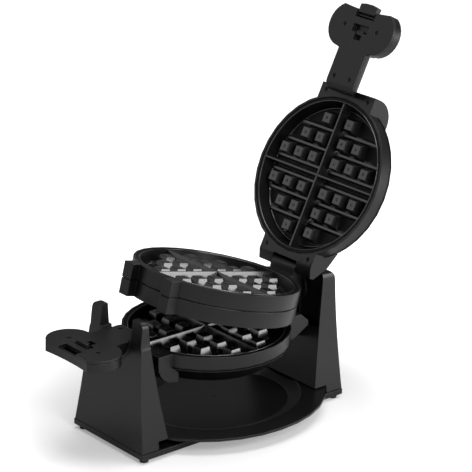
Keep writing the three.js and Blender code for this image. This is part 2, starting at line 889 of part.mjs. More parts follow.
// The knuckle fills the space between one lid's ears at the pin
function centreKnuckle(pinY, rise) {
  const reach = earInner - hingeSideGap;
  const profile = [
    [lugBackY, -centreHalfDepth],
    [pinY + knuckleRadius, -centreHalfDepth],
    ...arcPoints(pinY, rise, knuckleRadius, 0, halfTurn, smallSides / 2),
    [pinY - knuckleRadius, 0],
    [lugBackY, 0],
  ];
  return extrudeAlongX(profile, -reach, reach);
}

function centreShell(pinY, rise) {
  const space = discSolid(centreBore, -centreHalfDepth - overrun, overrun, roundSides);
  const outside = join([...centreLugs(), centreKnuckle(pinY, rise)]).subtract(space);
  return centreRing().add(outside).subtract(hingeBore(pinY, rise));
}

function centrePieces() {
  const group = new THREE.Group();
  const lower = new THREE.Group();
  lower.position.z = lowerRimZ + seatGap;
  lower.rotation.y = Math.PI;
  lower.add(mesh('centre_lower_shell', centreShell(lowerPinY, lowerPinDrop + seatGap), shellPlastic));
  lower.add(mesh('centre_lower_plate', wafflePlate(), nonStick));
  const upper = new THREE.Group();
  upper.position.z = upperRimZ - seatGap;
  upper.add(mesh('centre_upper_shell', centreShell(upperPinY, upperPinRise + seatGap), shellPlastic));
  upper.add(mesh('centre_upper_plate', wafflePlate(), nonStick));
  group.add(lower, upper);
  group.add(mesh('centre_heating_element', elementSolid((lowerRimZ + upperRimZ) / 2), darkSteel));
  group.add(mesh('upper_hinge_pin', pinSolid(upperPinY, upperPinZ), bareSteel));
  return group;
}

// Base: the plinth, the front yoke and the rear tower

function shareAt(z, topZ) {
  return 1 - (z - flareFootZ) / (topZ - flareFootZ);
}

function flared(z, topZ, top, foot, power) {
  const share = Math.min(1, Math.max(0, shareAt(z, topZ)));
  return top + (foot - top) * share ** power;
}

function yokeLevel(z, wall) {
  const half = flared(z, yokeTopZ, yokeTopHalf, baseWidth / 2, widthFlareShare) - wall;
  return {
    z,
    left: -half,
    right: half,
    front: -flared(z, yokeTopZ, yokeOuterTopY, baseFrontY, yokeFrontFlareShare) + wall,
    back: -flared(z, yokeTopZ, yokeInnerTopY, yokeInnerFootY, yokeBackFlareShare) - wall,
  };
}

function towerLevel(z, wall) {
  const half = flared(z, yokeTopZ, towerTopHalf, baseWidth / 2, widthFlareShare) - wall;
  return {
    z,
    left: -half,
    right: half,
    front: flared(z, yokeTopZ, towerInnerTopY, towerInnerFootY, towerFaceFlareShare) + wall,
    back: flared(z, yokeTopZ, towerBackTopY, baseRearY, towerBackFlareShare) - wall,
  };
}

function leaningBlock(levelAt, wall, bottom, top) {
  const levels = [];
  for (let i = 0; i <= loftLevels; i += 1) {
    levels.push(levelAt(bottom + (top - bottom) * i / loftLevels, wall));
  }
  return loft(levels);
}

function plinth() {
  const half = baseWidth / 2;
  const whole = block(-half, half, -baseFrontY, baseRearY, plinthBottomZ, plinthTopZ);
  const inner = half - plinthWall;
  const hollow = block(
    -inner,
    inner,
    -baseFrontY + plinthWall,
    baseRearY - plinthWall,
    plinthBottomZ - overrun,
    plinthTopZ - plinthWall,
  );
  return carve(whole.subtract(hollow), baseScrewPlaces().map((place) => baseScrewHole(place)));
}

function footPlaces() {
  const inset = plinthWall + seatGap + footRadius;
  const x = baseWidth / 2 - inset;
  return [-x, x].flatMap((place) => [[place, inset - baseFrontY], [place, baseRearY - inset]]);
}

function foot([x, y]) {
  return rod('z', footRadius, 0, plinthTopZ - plinthWall - seatGap, [x, y, 0]);
}

function baseScrewPlaces() {
  return [-baseScrewX, baseScrewX].flatMap((x) => [[x, -baseScrewFrontY], [x, baseScrewRearY]]);
}

function baseScrewHole([x, y]) {
  const start = plinthBottomZ - overrun;
  return rod('z', screwShankRadius + runningGap, start, bossTopZ - overrun, [x, y, 0], screwSides);
}

function baseScrew([x, y]) {
  const headTop = plinthTopZ - plinthWall - seatGap;
  const head = rod('z', screwHeadRadius, headTop - screwHeadHeight, headTop, [x, y, 0], screwSides);
  const end = bossTopZ - overrun - seatGap;
  return head.add(rod('z', screwShankRadius, headTop - screwHeadHeight, end, [x, y, 0], screwSides));
}

// Screw bosses inside the foot, each tied to the outer wall by a rib
function bosses(y, wallY) {
  const [front, back] = [Math.min(y, wallY), Math.max(y, wallY)];
  const rib = shellWall / 2;
  return [-baseScrewX, baseScrewX].flatMap((x) => [
    rod('z', bossRadius, yokeFootZ, bossTopZ, [x, y, 0]),
    block(x - rib, x + rib, front, back, yokeFootZ, bossTopZ),
  ]);
}

// The U that a handle's neck lies in, open at the top
function cradleSpace(radius) {
  const ends = [-baseFrontY - overrun, -yokeInnerFootY + overrun];
  const round = rod('y', radius, ends[0], ends[1], [0, 0, flipAxisZ], roundSides);
  return round.add(block(-radius, radius, ends[0], ends[1], flipAxisZ, yokeTopZ + overrun));
}

function trayPath(wall) {
  const reach = baseWidth + overrun;
  return block(
    -reach,
    reach,
    -trayFrontY - traySlotClearance - wall,
    trayRearY + traySlotClearance + wall,
    plinthTopZ - overrun,
    trayRimZ + traySlotClearance + wall,
  );
}

function topCorner(half, top) {
  return arcPoints(half - postTopRound, top - postTopRound, postTopRound, 0, quarterTurn, smallSides / 4);
}

function yokeTopRounding() {
  const half = yokeTopHalf;
  const corner = topCorner(half, yokeTopZ);
  const mirrored = corner.map(([x, z]) => [-x, z]).reverse();
  const wide = baseWidth / 2 + overrun;
  const points = [
    [-wide, plinthTopZ],
    [wide, plinthTopZ],
    [wide, towerMouthZ],
    [half, flipAxisZ],
    ...corner,
    ...mirrored,
    [-half, flipAxisZ],
    [-wide, towerMouthZ],
  ];
  return extrudeAlongY(points, -baseFrontY - overrun, -yokeInnerFootY + overrun);
}

function yoke() {
  const outer = leaningBlock(yokeLevel, 0, yokeFootZ, yokeTopZ);
  const inner = leaningBlock(yokeLevel, shellWall, yokeFootZ - overrun, yokeTopZ - shellWall);
  const hollow = carve(inner, [
    cradleSpace(cradleRadius + shellWall),
    trayPath(shellWall),
    ...bosses(-baseScrewFrontY, -baseFrontY),
  ]);
  return carve(outer.intersect(yokeTopRounding()), [
    hollow,
    cradleSpace(cradleRadius),
    trayPath(0),
    ...baseScrewPlaces().map(baseScrewHole),
  ]);
}

function cradleLiner() {
  const top = flipAxisZ + linerTopRise;
  const outer = leaningBlock(yokeLevel, 0, yokeFootZ, yokeTopZ).intersect(cradleSpace(cradleRadius - seatGap));
  const reach = baseFrontY + overrun;
  const above = block(-cradleRadius, cradleRadius, -reach, 0, top, yokeTopZ + cradleRadius);
  return carve(outer, [cradleSpace(neckHalf + linerRunning), above]);
}

// The tower's top is rounded at the front, at the back and at both sides
function towerTopRounding() {
  const frontY = towerInnerFootY - overrun;
  const backY = baseRearY + overrun;
  const capFrontY = towerInnerTopY - overrun + towerCapRoundFront;
  const side = [
    [frontY, plinthTopZ],
    [backY, plinthTopZ],
    [backY, towerMouthZ],
    [towerBackTopY + overrun, flipAxisZ],
    ...capArc(towerBackTopY - towerCapRoundBack, towerCapRoundBack, 0),
    ...capArc(capFrontY, towerCapRoundFront, quarterTurn),
    [frontY, flipAxisZ],
  ];
  const reach = baseWidth / 2 + overrun;
  const corner = topCorner(towerTopHalf, towerTopZ);
  const face = [
    [-reach, plinthTopZ],
    [reach, plinthTopZ],
    [reach, towerMouthZ],
    [towerTopHalf + overrun, flipAxisZ],
    ...corner,
    ...corner.map(([x, z]) => [-x, z]).reverse(),
    [-towerTopHalf - overrun, flipAxisZ],
    [-reach, towerMouthZ],
  ];
  return extrudeAlongX(side, -reach, reach).intersect(extrudeAlongY(face, frontY, backY));
}

function capArc(centreY, radius, fromAngle) {
  return arcPoints(centreY, towerTopZ - radius, radius, fromAngle, fromAngle + quarterTurn, smallSides / 2);
}

// The tower is open at the front above the mouth line, where the rotating hub comes out
function towerMouth() {
  const inner = leaningBlock(towerMouthLevel, shellWall, towerMouthZ - overrun, towerTopZ - shellWall);
  const wide = baseWidth / 2;
  const face = [
    [-wide, towerMouthZ + towerMouthSag],
    [-wide / 2, towerMouthZ],
    [wide / 2, towerMouthZ],
    [wide, towerMouthZ + towerMouthSag],
    [wide, towerTopZ],
    [-wide, towerTopZ],
  ];
  return inner.intersect(extrudeAlongY(face, towerInnerFootY - overrun, baseRearY));
}

function towerMouthLevel(z, wall) {
  const level = towerLevel(z, wall);
  return { ...level, front: towerInnerFootY - overrun };
}

function towerWhole() {
  const outer = leaningBlock(towerLevel, 0, yokeFootZ, towerTopZ).intersect(towerTopRounding());
  const inner = leaningBlock(towerLevel, shellWall, yokeFootZ - overrun, towerTopZ - shellWall);
  const hollow = carve(inner, [trayPath(shellWall), ...bosses(baseScrewRearY, baseRearY)]);
  return carve(outer, [hollow, towerMouth(), trayPath(0), ...baseScrewPlaces().map(baseScrewHole)]);
}

function towerPart(bottom, top) {
  const reach = baseWidth / 2 + overrun;
  return towerWhole().intersect(block(-reach, reach, 0, baseRearY + overrun, bottom, top));
}

function bearingPlate() {
  const inside = leaningBlock(towerLevel, shellWall + seatGap, towerMouthZ, towerTopZ - shellWall - seatGap);
  const rounded = towerTopRounding().translate([0, 0, -shellWall - seatGap]);
  const slab = block(-baseWidth, baseWidth, bearingY, bearingY + bearingThickness, bearingFootZ, towerTopZ);
  const boreRadius = hubShaftRadius + runningGap + bushThickness + seatGap;
  const bore = rod('y', boreRadius, 0, baseRearY, [0, 0, flipAxisZ], roundSides / 2);
  return inside.intersect(rounded).intersect(slab).subtract(bore);
}

function ringAlongY(outerRadius, innerRadius, start, end) {
  const outer = rod('y', outerRadius, start, end, [0, 0, flipAxisZ], roundSides / 2);
  return outer.subtract(rod('y', innerRadius, start - overrun, end + overrun, [0, 0, flipAxisZ], roundSides / 2));
}

function bearingBush() {
  const outer = hubShaftRadius + runningGap + bushThickness;
  return ringAlongY(outer, hubShaftRadius + runningGap, bearingY, bearingY + bearingThickness);
}

// Rotating hub: a hollow shaft with a disc, and an arm that carries the lower lid

function hubShaft() {
  const disc = ringAlongY(hubDiscRadius, hubBore, hubDiscY, hubDiscY + hubDiscThickness);
  const shaft = ringAlongY(hubShaftRadius, hubBore, hubDiscY + hubDiscThickness / 2, hubShaftEndY);
  return carve(disc.add(shaft), hubScrewPlaces().map((place) => hubScrewHole(place)));
}

function hubScrewPlaces() {
  return [-1, 1].map((side) => [side * hubScrewReach, side * hubScrewReach]);
}

function hubScrewHole([x, z]) {
  const start = hubDiscY - armPlateThickness - overrun;
  const end = hubDiscY + hubDiscThickness - seatGap;
  return rod('y', screwShankRadius + runningGap, start, end, [x, 0, flipAxisZ + z], screwSides);
}

function hubScrew([x, z]) {
  const face = hubDiscY - seatGap - armPlateThickness;
  const end = hubDiscY + hubDiscThickness - seatGap - seatGap;
  const at = [x, 0, flipAxisZ + z];
  const head = rod('y', screwHeadRadius, face - seatGap - screwHeadHeight, face - seatGap, at, screwSides);
  return head.add(rod('y', screwShankRadius, face - screwHeadHeight, end, at, screwSides));
}

function hubArm() {
  const plateBack = hubDiscY - seatGap;
  const plateFront = plateBack - armPlateThickness;
  const profile = [
    [armFrontY, armFloorZ],
    [armHeelY, armFloorZ],
    [armHeelY, armStepZ],
    [plateBack, armStepZ],
    [plateBack, armTopZ],
    [plateFront, armTopZ],
    [plateFront, armSeatZ + armHeelRise],
    [plateFront - armHeelRise, armSeatZ],
    [armFrontY, armSeatZ],
  ];
  const lid = lidOuter(seatGap).translate([0, 0, lowerRimZ]);
  const bore = rod('y', hubBore, plateFront - overrun, plateBack + overrun, [0, 0, flipAxisZ], smallSides);
  return carve(extrudeAlongX(profile, -armHalf, armHalf), [lid, bore, ...hubScrewPlaces().map(hubScrewHole)]);
}

// Drip tray: an oval pan with a turned-down lip, cut straight at the yoke and at the tower

function ellipseStack(rings) {
  const positions = [];
  const index = [];
  for (const { a, b, z } of rings) {
    for (let i = 0; i < roundSides; i += 1) {
      const angle = i / roundSides * Math.PI * 2;
      positions.push(a * Math.cos(angle), b * Math.sin(angle), z);
    }
  }
  const last = rings.length - 1;
  for (let ring = 0; ring < last; ring += 1) {
    for (let i = 0; i < roundSides; i += 1) {
      const a = ring * roundSides + i;
      const b = ring * roundSides + (i + 1) % roundSides;
      index.push(a, b, b + roundSides, a, b + roundSides, a + roundSides);
    }
  }
  for (let i = 1; i < roundSides - 1; i += 1) {
    index.push(0, i + 1, i);
    index.push(last * roundSides, last * roundSides + i, last * roundSides + i + 1);
  }
  const geometry = new THREE.BufferGeometry();
  geometry.setAttribute('position', new THREE.Float32BufferAttribute(positions, 3));
  geometry.setIndex(index);
  return toSolid(geometry);
}

function ovalRing(halfX, halfY, inset, z) {
  return { a: halfX - inset, b: halfY - inset, z };
}

function dripTray() {
  const under = trayRimZ - trayThickness;
  const skirt = ellipseStack([
    ovalRing(trayHalfX, trayHalfY, 0, trayRimZ - trayLip),
    ovalRing(trayHalfX, trayHalfY, 0, trayRimZ),
  ]);
  const skirtSpace = ellipseStack([
    ovalRing(trayHalfX, trayHalfY, trayLipWidth, trayRimZ - trayLip - overrun),
    ovalRing(trayHalfX, trayHalfY, trayLipWidth, under),
  ]);
  const pan = ellipseStack([
    ovalRing(wellHalfX, wellHalfY, wellSlope - trayThickness, under - wellDepth),
    ovalRing(wellHalfX, wellHalfY, -trayThickness, under),
    ovalRing(wellHalfX, wellHalfY, -trayThickness, trayRimZ),
  ]);
  const well = ellipseStack([
    ovalRing(wellHalfX, wellHalfY, wellSlope, trayRimZ - wellDepth),
    ovalRing(wellHalfX, wellHalfY, 0, trayRimZ),
    ovalRing(wellHalfX, wellHalfY, 0, trayRimZ + overrun),
  ]);
  const tray = skirt.subtract(skirtSpace).add(pan).subtract(well).translate([0, trayCentreY, 0]);
  return tray.intersect(block(-trayHalfX, trayHalfX, -trayFrontY, trayRearY, 0, trayRimZ + overrun));
}

// The assembly, closed first and then opened about its pins

function buildBase() {
  const base = new THREE.Group();
  base.add(mesh('plinth', plinth(), shellPlastic));
  base.add(...copies('rubber_foot', footPlaces(), foot, softRubber));
  base.add(mesh('front_yoke', yoke(), shellPlastic));
  base.add(mesh('cradle_liner', cradleLiner(), mattePlastic));
  base.add(mesh('tower_body', towerPart(0, capSeamZ - seatGap / 2), shellPlastic));
  base.add(mesh('tower_cap', towerPart(capSeamZ + seatGap / 2, towerTopZ + overrun), shellPlastic));
  base.add(mesh('bearing_plate', bearingPlate(), mattePlastic));
  base.add(mesh('bearing_bush', bearingBush(), mattePlastic));
  base.add(...copies('base_screw', baseScrewPlaces(), baseScrew, darkSteel));
  base.add(mesh('drip_tray', dripTray(), shellPlastic));
  return base;
}

function buildCarriage() {
  const carriage = new THREE.Group();
  carriage.add(mesh('hub_shaft', hubShaft(), mattePlastic));
  carriage.add(mesh('hub_arm', hubArm(), shellPlastic));
  carriage.add(...copies('hub_screw', hubScrewPlaces(), hubScrew, darkSteel));
  carriage.add(mesh('lower_hinge_pin', pinSolid(lowerPinY, lowerPinZ), bareSteel));
  const lid = lidPieces({
    name: 'lower',
    pinY: lowerPinY,
    pinDrop: lowerPinDrop,
    screwPlaces: lugScrewPlaces(),
    recess: pocketRecess(),
    key: lockTab(),
  });
  lid.group.position.z = lowerRimZ;
  carriage.add(lid.group);
  return carriage;
}

function buildUpperLid() {
  const lid = lidPieces({
    name: 'upper',
    pinY: upperPinY,
    pinDrop: upperPinRise,
    screwPlaces: [...lugScrewPlaces(), ...hingeScrewPlaces()],
    recess: openRecess(),
    key: lockCatch(),
  });
  lid.handle.add(mesh('latch_pin', latchPin(), bareSteel));
  lid.handle.add(mesh('latch_flap', latchFlap(), shellPlastic));
  lid.group.position.z = upperRimZ;
  lid.group.rotation.y = Math.PI;
  return lid.group;
}

function buildMachine() {
  const whole = new THREE.Group();
  const centre = hinged(lowerPinY, lowerPinZ, centreTilt);
  const top = hinged(upperPinY, upperPinZ, upperOpening - centreTilt);
  top.inner.add(buildUpperLid());
  centre.inner.add(centrePieces(), top.outer);
  whole.add(buildBase(), buildCarriage(), centre.outer);
  return whole;
}

const machine = buildMachine();
machine.name = 'rotating_waffle_maker';
machine.updateMatrixWorld(true);
const bounds = new THREE.Box3().setFromObject(machine, true);
const middle = bounds.getCenter(new THREE.Vector3());
machine.position.set(-middle.x, -middle.y, -bounds.min.z);
machine.updateMatrixWorld(true);

export default machine;
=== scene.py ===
"""A rotating double Belgian waffle maker with its lids open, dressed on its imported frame."""
import json
import math

import bmesh
import bpy
from mathutils import Matrix, Vector


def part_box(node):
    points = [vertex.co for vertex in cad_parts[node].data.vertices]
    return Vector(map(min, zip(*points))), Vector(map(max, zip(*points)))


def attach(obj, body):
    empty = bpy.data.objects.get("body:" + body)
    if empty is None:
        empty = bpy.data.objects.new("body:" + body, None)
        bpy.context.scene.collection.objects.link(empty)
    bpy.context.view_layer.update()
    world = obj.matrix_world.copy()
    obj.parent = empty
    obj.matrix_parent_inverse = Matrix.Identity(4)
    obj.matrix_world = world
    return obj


MM = 0.001
MIDWAY = 0.5
OPAQUE = 1.0
WHITE = (1.0, 1.0, 1.0, OPAQUE)
MATRIX_SIZE = 4

# Camera, as solved from the photograph
CAMERA_AZIMUTH = 48.72
CAMERA_ELEVATION = 20.06
CAMERA_ROLL = 1.71
CAMERA_DISTANCE = 2684.5 * MM
CAMERA_TARGET = Vector((15.61, -7.59, 242.51)) * MM
CAMERA_LENS = 165.4
CAMERA_SENSOR = 36.0
CAMERA_SHIFT_X = 0.0171
CAMERA_SHIFT_Y = 0.0003
CAMERA_REACH = 30.0

# Where the four plates sit
PLATE_BODIES = {
    "lower": "carriage",
    "centre_lower": "centre_unit",
    "centre_upper": "centre_unit",
    "upper": "upper_lid",
}
LID_PLATES = ("lower", "upper")
CENTRE_THICKNESS = 42.0 * MM
RIM_GAP = 0.3 * MM

# Waffle plate details, in the plate's rim frame
PLATE_FLOOR = -15.0 * MM
PLATE_FACE = -0.8 * MM
CAVITY_RADIUS = 98.5 * MM
CAVITY_FLOOR_RADIUS = 93.0 * MM
FLANGE_RADIUS = 103.4 * MM
SKIN = 0.08 * MM

# Low ribs on the cavity's floor
RIB_FIRST = 9.5 * MM
RIB_FOOT_SINK = 0.5 * MM
RIB_FLAT_SHARE = 0.5
RIB_RING_INSET = 1.2 * MM
RIB_RING_RADIUS = CAVITY_FLOOR_RADIUS - RIB_RING_INSET
LONG_RIB = {"base": 10.4 * MM, "top": 5.6 * MM, "height": 3.2 * MM, "crown": 0.9 * MM}
RING_RIB = {"base": 3.4 * MM, "top": 1.4 * MM, "height": 2.2 * MM, "crown": 0.4 * MM}

# Dividers and pegs
DIVIDER_TOP = -0.6 * MM
DIVIDER_HALF_TOP = 0.9 * MM
DIVIDER_HALF_BASE = 5.5 * MM
DIVIDER_REACH = 97.8 * MM
PEG_FIRST = 20.5 * MM
PEG_PITCH = 26.5 * MM
PEGS_PER_SIDE = 3
PEG_TOP = -1.6 * MM
PEG_TOP_HALF = 6.5 * MM
PEG_FOOT_HALF = 9.8 * MM
PEG_CHAMFER = 0.45 * MM
DIMPLE_RADIUS = 1.6 * MM
DIMPLE_LIP = 0.6 * MM
DIMPLE_DROP = 0.45 * MM
DOT_RADIUS = 0.45 * MM
DOT_CORE = 0.05 * MM

# Bead, joints and rings
BEAD_RADIUS = 0.8 * MM
BEAD_INSET = 0.6 * MM
GROOVE_HALF_WIDTH = 0.55 * MM
GROOVE_LIFT = 0.05 * MM
GROOVE_SINK = 0.4 * MM
LID_RADIUS = 107.0 * MM
SEAM_HEIGHT = -17.9 * MM
SEAM_HALF_WIDTH = 0.35 * MM
SEAM_LIFT = 0.08 * MM
SEAM_SINK = 0.6 * MM
RING_SEGMENTS = 96
TUBE_SEGMENTS = 10
SMALL_SEGMENTS = 16

# Screw heads: near-black crosses and rings, painted shade for their cross recesses and the gaps round them
CROSS_REACH = 1.9 * MM
CROSS_HALF_WIDTH = 0.42 * MM
CROSS_LIFT = 0.04 * MM
CROSS_SINK = 0.2 * MM
HEAD_GAP = 0.3 * MM

# Drip tray
WELL_MIDDLE = (0.0, -4.548 * MM)
WELL_HALVES = (98.4 * MM, 115.4 * MM)
WELL_FLOOR = 14.5 * MM
WELL_RIM = 21.6 * MM
WELL_SLOPE = 17.0 * MM
WELL_CAD_SLOPE = 9.0 * MM
WELL_BED = 0.6 * MM
WELL_LIFT = 0.05 * MM
WELL_RIM_DROP = 0.25 * MM
WELL_SEGMENTS = 128
MARK_PLACE = (-10.4 * MM, 0.2 * MM)
MARK_RADII = (2.6 * MM, 1.6 * MM)
MARK_WIDTH = 0.7 * MM

# Finishes
PLASTIC_SPECULAR = 0.34
PLASTIC_CLOUD = {"Scale": 14.0, "Detail": 3.0, "Roughness": 0.55}
PLASTIC_GRAIN = {"Scale": 2600.0, "Detail": 2.0, "Roughness": 0.6}
PLASTIC_DEPTH = 0.05 * MM
PLASTICS = {
    "shell_plastic": {
        "name": "satin black plastic",
        "tones": ((0.002, 0.002, 0.0022), (0.0032, 0.0032, 0.0034)),
        "rough": (0.3, 0.38),
        "grain": 0.12,
    },
    "matte_trim": {
        "name": "matte black plastic",
        "tones": ((0.0025, 0.0025, 0.0027), (0.004, 0.004, 0.0042)),
        "rough": (0.4, 0.5),
        "grain": 0.2,
    },
}
COATING_TONES = ((0.0012, 0.0012, 0.0013), (0.003, 0.003, 0.0031))
COATING_SPECKLE = {"Scale": 1900.0, "Detail": 4.0, "Roughness": 0.7}
COATING_PEEL = {"Scale": 420.0, "Detail": 2.0, "Roughness": 0.5}
COATING_BUMP = 0.25
COATING_DEPTH = 0.08 * MM
COATINGS = {
    "non_stick": {"name": "black non-stick coating", "specular": 0.11, "rough": (0.34, 0.46)},
    "rubbed": {"name": "non-stick coating rubbed smooth", "specular": 0.8, "rough": (0.2, 0.3)},
}
METAL_CLOUD = {"Scale": 260.0, "Detail": 3.0, "Roughness": 0.6}
METAL_BUMP = 0.1
METAL_DEPTH = 0.03 * MM
METALS = {
    "plain_steel": {
        "name": "plain steel",
        "tones": ((0.35, 0.35, 0.36), (0.55, 0.55, 0.55)),
        "rough": (0.25, 0.4),
    },
    "dark_steel": {
        "name": "blackened steel",
        "tones": ((0.016, 0.016, 0.016), (0.035, 0.035, 0.035)),
        "rough": (0.35, 0.5),
    },
    "element_steel": {
        "name": "heated steel tube",
        "tones": ((0.08, 0.075, 0.07), (0.16, 0.15, 0.14)),
        "rough": (0.4, 0.6),
    },
    # near-black fill: painted shade in screw recesses, round screw heads and in the pegs' dimples, and the colour
    # of the dark joints and the tray's mark
    "recess": {
        "name": "screw recess",
        "tones": ((0.003, 0.003, 0.003), (0.006, 0.006, 0.006)),
        "rough": (0.6, 0.8),
    },
}
RUBBER_CLOUD = {"Scale": 300.0, "Detail": 2.0, "Roughness": 0.5}
RUBBER_TONES = ((0.01, 0.01, 0.01), (0.02, 0.02, 0.02))
RUBBER_ROUGH = (0.75, 0.9)
RUBBER_BUMP = 0.2
RUBBER_DEPTH = 0.05 * MM
TONE_STOPS = (0.3, 0.7)
EDGE_RADIUS = 1.1 * MM
CAST_EDGE_RADIUS = 0.5 * MM
EDGE_SAMPLES = 6
SMOOTH_ANGLE = math.radians(32.0)
POINT_STEP = 0.02 * MM

# Floor: its own white grows with the distance from the object, a painted shade close to it, and the share of that
# white seen in reflections grows from left to right, a painted pool of light on the right and painted shade on the
# left
FLOOR_SIZE = 14.0
FLOOR_COLOR = (0.5, 0.5, 0.5, OPAQUE)
FLOOR_DISTANCES = (0.17, 0.4)
FLOOR_WHITES_WITH_PAINTED_SHADE = (0.32, 1.0)
FLOOR_PAINTED_REFLECTION_SIDES = (-0.25, 0.3)
FLOOR_PAINTED_REFLECTION_LEVELS = (0.1, 0.4)

# Studio as gloss shows it, by how far a reflection points upwards and backwards
WORLD_LIGHT = 0.03
WALL_HEIGHTS = (0.36, 0.6)
WALL_GLOSSES = (1.0, 0.0)
WALL_DEPTHS = (-0.15, 0.35)
CEILING_GLOSS = 0.15
DEPTH_GLOSSES = (1.0, CEILING_GLOSS)

# Lights
LAMPS = {
    "key": {"place": (1.7, -0.4, 1.5), "size": 0.9, "power": 25.0},
    "side": {"place": (1.55, 1.25, 0.65), "size": 1.2, "power": 27.0},
    "top": {"place": (0.1, 0.2, 2.0), "size": 1.6, "power": 45.0},
}
LIGHT_TARGET = Vector((0.0, 0.0, 0.2))


# Materials


class Graph:
    """A node tree with short calls for the nodes used here."""

    def __init__(self, tree):
        self.tree = tree

    def add(self, kind, **inputs):
        node = self.tree.nodes.new(kind)
        for name, value in inputs.items():
            node.inputs[name].default_value = value
        return node

    def link(self, source, target):
        self.tree.links.new(source, target)

    def place(self, kind):
        return self.add("ShaderNodeTexCoord").outputs[kind]

    def split(self, vector):
        node = self.add("ShaderNodeSeparateXYZ")
        self.link(vector, node.inputs["Vector"])
        return node.outputs

    def combined(self, operation, first, second):
        """The result of a math node whose sides are sockets or numbers."""
        node = self.add("ShaderNodeMath")
        node.operation = operation
        for side, value in zip(node.inputs, (first, second)):
            if isinstance(value, float):
                side.default_value = value
            else:
                self.link(value, side)
        return node.outputs["Value"]

    def ranged(self, value, low, high):
        span = self.add("ShaderNodeMapRange", **{"To Min": low, "To Max": high})
        self.link(value, span.inputs["Value"])
        return span.outputs["Result"]

    def faded(self, value, ends, levels):
        """A soft change from one level to the other as the value goes from end to end."""
        fade = self.add("ShaderNodeMapRange", **{
            "From Min": ends[0], "From Max": ends[1], "To Min": levels[0], "To Max": levels[1],
        })
        fade.interpolation_type = "SMOOTHSTEP"
        self.link(value, fade.inputs["Value"])
        return fade.outputs["Result"]


class Finish(Graph):
    """A material's graph, which ends in its principled shader."""

    def __init__(self, name):
        self.material = bpy.data.materials.new(name)
        self.material.use_nodes = True
        super().__init__(self.material.node_tree)
        self.shader = self.tree.nodes["Principled BSDF"]

    def noise(self, settings):
        noise = self.add("ShaderNodeTexNoise", **settings)
        self.link(self.place("Object"), noise.inputs["Vector"])
        return noise.outputs["Fac"]

    def tint(self, value, tones):
        ramp = self.add("ShaderNodeValToRGB")
        for stop, position, tone in zip(ramp.color_ramp.elements, TONE_STOPS, tones):
            stop.position = position
            stop.color = (*tone, OPAQUE)
        self.link(value, ramp.inputs["Fac"])
        self.link(ramp.outputs["Color"], self.shader.inputs["Base Color"])

    def roughen(self, value, rough):
        self.link(self.ranged(value, *rough), self.shader.inputs["Roughness"])

    def emboss(self, height, strength, depth, edge=EDGE_RADIUS):
        """Relief on a surface whose edges are softly rounded."""
        bevel = self.add("ShaderNodeBevel", Radius=edge)
        bevel.samples = EDGE_SAMPLES
        bump = self.add("ShaderNodeBump", Strength=strength, Distance=depth)
        self.link(height, bump.inputs["Height"])
        self.link(bevel.outputs["Normal"], bump.inputs["Normal"])
        self.link(bump.outputs["Normal"], self.shader.inputs["Normal"])


def moulded_plastic(name, tones, rough, grain):
    """Black moulded plastic: a fine spark-eroded grain with slow changes of gloss."""
    finish = Finish(name)
    finish.shader.inputs["Specular IOR Level"].default_value = PLASTIC_SPECULAR
    cloud = finish.noise(PLASTIC_CLOUD)
    finish.tint(cloud, tones)
    finish.roughen(cloud, rough)
    finish.emboss(finish.noise(PLASTIC_GRAIN), grain, PLASTIC_DEPTH)
    return finish.material


def non_stick_coating(name, specular, rough):
    """Sprayed coating on cast metal: soft gloss, fine speckle and a little orange peel."""
    finish = Finish(name)
    finish.shader.inputs["Specular IOR Level"].default_value = specular
    finish.tint(finish.noise(COATING_SPECKLE), COATING_TONES)
    peel = finish.noise(COATING_PEEL)
    finish.roughen(peel, rough)
    finish.emboss(peel, COATING_BUMP, COATING_DEPTH, CAST_EDGE_RADIUS)
    return finish.material


def metal(name, tones, rough):
    """Metal whose colour, gloss and relief change with one fine cloud."""
    finish = Finish(name)
    finish.shader.inputs["Metallic"].default_value = 1.0
    cloud = finish.noise(METAL_CLOUD)
    finish.tint(cloud, tones)
    finish.roughen(cloud, rough)
    finish.emboss(cloud, METAL_BUMP, METAL_DEPTH)
    return finish.material


def soft_rubber(name):
    """Dull rubber with a soft mottle."""
    finish = Finish(name)
    cloud = finish.noise(RUBBER_CLOUD)
    finish.tint(cloud, RUBBER_TONES)
    finish.roughen(cloud, RUBBER_ROUGH)
    finish.emboss(cloud, RUBBER_BUMP, RUBBER_DEPTH)
    return finish.material


def make_materials():
    materials = {"foot_rubber": soft_rubber("soft black rubber")}
    for slot, look in PLASTICS.items():
        materials[slot] = moulded_plastic(**look)
    for slot, look in COATINGS.items():
        materials[slot] = non_stick_coating(**look)
    for slot, look in METALS.items():
        materials[slot] = metal(**look)
    return materials


def smooth_normals(data):
    """Shades a faceted CAD mesh smoothly across its soft edges, with its points left where they are."""
    limit = math.cos(SMOOTH_ANGLE)
    around = {}
    corners = []
    for face in data.polygons:
        for vertex in face.vertices:
            key = tuple(round(c / POINT_STEP) for c in data.vertices[vertex].co)
            around.setdefault(key, []).append((face.normal.copy(), face.area))
            corners.append((key, face.normal.copy()))
    normals = []
    for key, own in corners:
        total = Vector()
        for normal, area in around[key]:
            if normal.dot(own) > limit:
                total += normal * area
        normals.append(total.normalized() if total.length else own)
    data.polygons.foreach_set("use_smooth", [True] * len(data.polygons))
    data.normals_split_custom_set(normals)


def paint_nodes(frame, materials):
    slots = {part["node"]: part["material_slot"] for part in frame["record"]["subparts"]}
    for name, node in frame["nodes"].items():
        node.data.materials.clear()
        node.data.materials.append(materials[slots[name]])
        smooth_normals(node.data)


# Places, worked out from the frame


def turn_about(pin, angle):
    turn = Matrix.Rotation(-angle, MATRIX_SIZE, "X")
    return Matrix.Translation(pin) @ turn @ Matrix.Translation(-pin)


